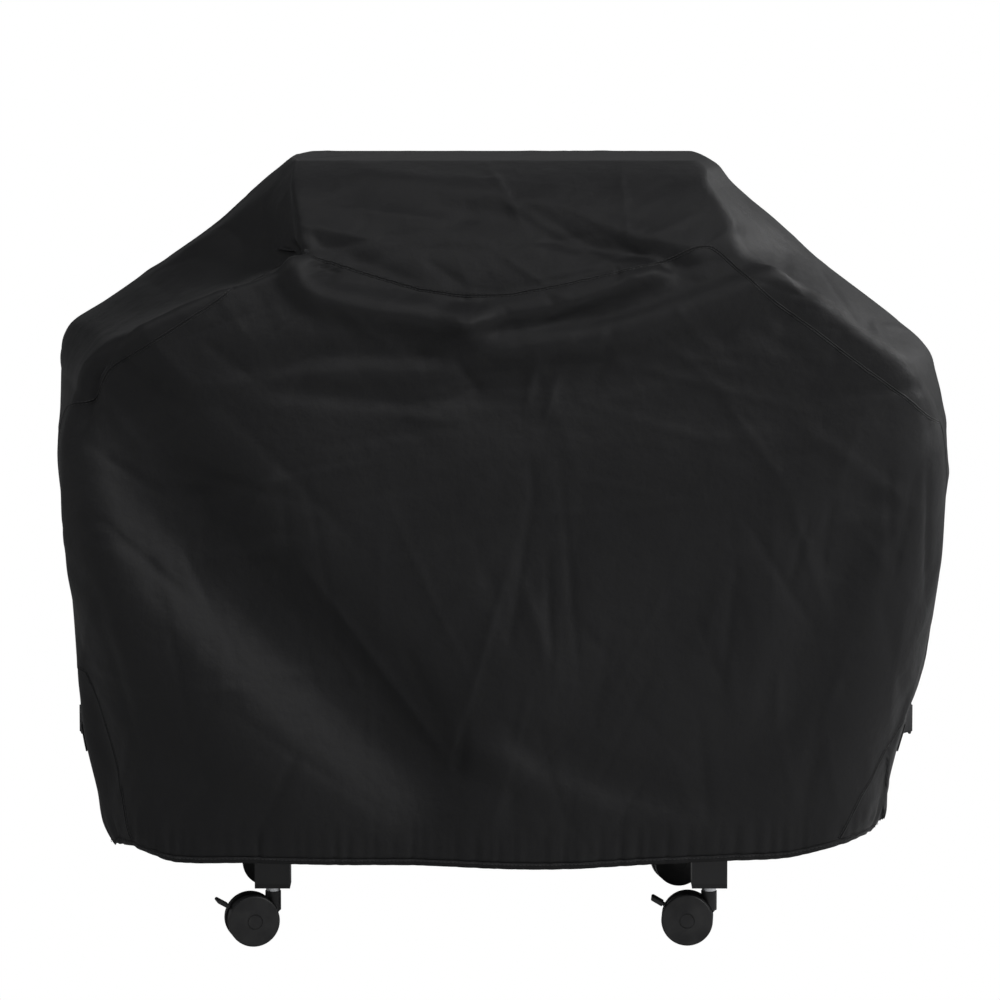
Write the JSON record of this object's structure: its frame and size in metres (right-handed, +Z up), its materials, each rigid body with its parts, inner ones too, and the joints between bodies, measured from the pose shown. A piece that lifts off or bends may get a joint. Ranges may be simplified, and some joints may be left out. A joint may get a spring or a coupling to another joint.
{
  "type": "grill cover on a wheeled grill cart",
  "caption": "Fitted black cloth cover with seamed panels, hem and side straps, draped over a wheeled grill cart on twin-wheel swivel castors.",
  "frame": {"origin": "on the ground under the middle of the cover", "axes": "+Z up, -Y towards the front of the grill, +X to the right as seen from the front"},
  "size_m": [1.272, 0.594, 1.088],
  "materials": {
    "cover_cloth": "satin woven polyester with a coated back",
    "hem_cloth": "folded and stitched woven polyester",
    "seam_tape": "smooth heat-sealed tape",
    "webbing": "ribbed polyester webbing",
    "ring_plastic": "moulded, fine grain",
    "hood_enamel": "semi-gloss enamel",
    "handle_steel": "brushed",
    "knob_plastic": "gloss",
    "frame_paint": "satin powder coat",
    "socket_plastic": "moulded, matt",
    "zinc_steel": "bright plated",
    "castor_plastic": "moulded nylon, satin",
    "wheel_plastic": "moulded nylon, satin"
  },
  "bodies": {
    "cart": {"front_rail": "frame_paint", "rear_rail": "frame_paint", "left_rail": "frame_paint", "right_rail": "frame_paint", "lower_shelf": "frame_paint", "firebox": "hood_enamel", "hood": "hood_enamel", "hood_handle": "handle_steel", "control_panel": "hood_enamel", "side_shelf_left": "frame_paint", "side_shelf_right": "frame_paint", "leg_front_left": "frame_paint", "leg_front_right": "frame_paint", "leg_rear_left": "frame_paint", "leg_rear_right": "frame_paint", "leg_socket_front_left": "socket_plastic", "leg_socket_front_right": "socket_plastic", "leg_socket_rear_left": "socket_plastic", "leg_socket_rear_right": "socket_plastic", "castor_stem_front_left": "zinc_steel", "castor_stem_front_right": "zinc_steel", "castor_stem_rear_left": "zinc_steel", "castor_stem_rear_right": "zinc_steel"},
    "cover": {"front_panel": "cover_cloth", "rear_panel": "cover_cloth", "gusset_panel": "cover_cloth", "hem_band": "hem_cloth", "front_seam_tape": "seam_tape", "rear_seam_tape": "seam_tape", "left_strap_front": "webbing", "left_strap_rear": "webbing", "left_strap_ring": "ring_plastic", "right_strap_front": "webbing", "right_strap_rear": "webbing", "right_strap_ring": "ring_plastic"},
    "knob_left": {"knob_left": "knob_plastic"},
    "knob_middle": {"knob_middle": "knob_plastic"},
    "knob_right": {"knob_right": "knob_plastic"},
    "castor_front_left": {"castor_housing_front_left": "castor_plastic", "castor_axle_front_left": "zinc_steel"},
    "outer_wheel_front_left": {"wheel_outer_front_left": "wheel_plastic"},
    "inner_wheel_front_left": {"wheel_inner_front_left": "wheel_plastic"},
    "castor_front_right": {"castor_housing_front_right": "castor_plastic", "castor_axle_front_right": "zinc_steel"},
    "outer_wheel_front_right": {"wheel_outer_front_right": "wheel_plastic"},
    "inner_wheel_front_right": {"wheel_inner_front_right": "wheel_plastic"},
    "castor_rear_left": {"castor_housing_rear_left": "castor_plastic", "castor_axle_rear_left": "zinc_steel"},
    "outer_wheel_rear_left": {"wheel_outer_rear_left": "wheel_plastic"},
    "inner_wheel_rear_left": {"wheel_inner_rear_left": "wheel_plastic"},
    "castor_rear_right": {"castor_housing_rear_right": "castor_plastic", "castor_axle_rear_right": "zinc_steel"},
    "outer_wheel_rear_right": {"wheel_outer_rear_right": "wheel_plastic"},
    "inner_wheel_rear_right": {"wheel_inner_rear_right": "wheel_plastic"},
    "brake_front_left": {"brake_lever_front_left": "castor_plastic"},
    "brake_front_right": {"brake_lever_front_right": "castor_plastic"}
  },
  "joints": [
    {"name": "cover_lift", "type": "slide", "parent": "cart", "child": "cover", "axis": [0, 0, 1], "range_m": [0, 1]},
    {"name": "knob_left_turn", "type": "hinge", "parent": "cart", "child": "knob_left", "pos_m": [-0.1625, -0.25, 0.81], "axis": [0, -1, 0], "range_deg": [0, 180]},
    {"name": "knob_middle_turn", "type": "hinge", "parent": "cart", "child": "knob_middle", "pos_m": [-0.0125, -0.25, 0.81], "axis": [0, -1, 0], "range_deg": [0, 180]},
    {"name": "knob_right_turn", "type": "hinge", "parent": "cart", "child": "knob_right", "pos_m": [0.1375, -0.25, 0.81], "axis": [0, -1, 0], "range_deg": [0, 180]},
    {"name": "swivel_front_left", "type": "hinge", "parent": "cart", "child": "castor_front_left", "pos_m": [-0.3165, -0.225, 0.036], "axis": [0, 0, 1], "continuous": true},
    {"name": "roll_outer_front_left", "type": "hinge", "parent": "castor_front_left", "child": "outer_wheel_front_left", "pos_m": [-0.34584, -0.23124, 0.036], "axis": [-0.2079, 0.9781, 0], "continuous": true},
    {"name": "roll_inner_front_left", "type": "hinge", "parent": "castor_front_left", "child": "inner_wheel_front_left", "pos_m": [-0.34584, -0.23124, 0.036], "axis": [-0.2079, 0.9781, 0], "continuous": true},
    {"name": "swivel_front_right", "type": "hinge", "parent": "cart", "child": "castor_front_right", "pos_m": [0.2915, -0.225, 0.036], "axis": [0, 0, 1], "continuous": true},
    {"name": "roll_outer_front_right", "type": "hinge", "parent": "castor_front_right", "child": "outer_wheel_front_right", "pos_m": [0.26154, -0.22343, 0.036], "axis": [0.0523, 0.9986, 0], "continuous": true},
    {"name": "roll_inner_front_right", "type": "hinge", "parent": "castor_front_right", "child": "inner_wheel_front_right", "pos_m": [0.26154, -0.22343, 0.036], "axis": [0.0523, 0.9986, 0], "continuous": true},
    {"name": "swivel_rear_left", "type": "hinge", "parent": "cart", "child": "castor_rear_left", "pos_m": [-0.3165, 0.225, 0.036], "axis": [0, 0, 1], "continuous": true},
    {"name": "roll_outer_rear_left", "type": "hinge", "parent": "castor_rear_left", "child": "outer_wheel_rear_left", "pos_m": [-0.34639, 0.22238, 0.036], "axis": [-0.0872, 0.9962, 0], "continuous": true},
    {"name": "roll_inner_rear_left", "type": "hinge", "parent": "castor_rear_left", "child": "inner_wheel_rear_left", "pos_m": [-0.34639, 0.22238, 0.036], "axis": [-0.0872, 0.9962, 0], "continuous": true},
    {"name": "swivel_rear_right", "type": "hinge", "parent": "cart", "child": "castor_rear_right", "pos_m": [0.2915, 0.225, 0.036], "axis": [0, 0, 1], "continuous": true},
    {"name": "roll_outer_rear_right", "type": "hinge", "parent": "castor_rear_right", "child": "outer_wheel_rear_right", "pos_m": [0.26196, 0.21979, 0.036], "axis": [-0.1736, 0.9848, 0], "continuous": true},
    {"name": "roll_inner_rear_right", "type": "hinge", "parent": "castor_rear_right", "child": "inner_wheel_rear_right", "pos_m": [0.26196, 0.21979, 0.036], "axis": [-0.1736, 0.9848, 0], "continuous": true},
    {"name": "brake_front_left_press", "type": "hinge", "parent": "castor_front_left", "child": "brake_front_left", "pos_m": [-0.36617, -0.23556, 0.048], "axis": [0.2079, -0.9781, 0], "range_deg": [0, 16]},
    {"name": "brake_front_right_press", "type": "hinge", "parent": "castor_front_right", "child": "brake_front_right", "pos_m": [0.24078, -0.22234, 0.048], "axis": [-0.0523, -0.9986, 0], "range_deg": [0, 16]}
  ]
}
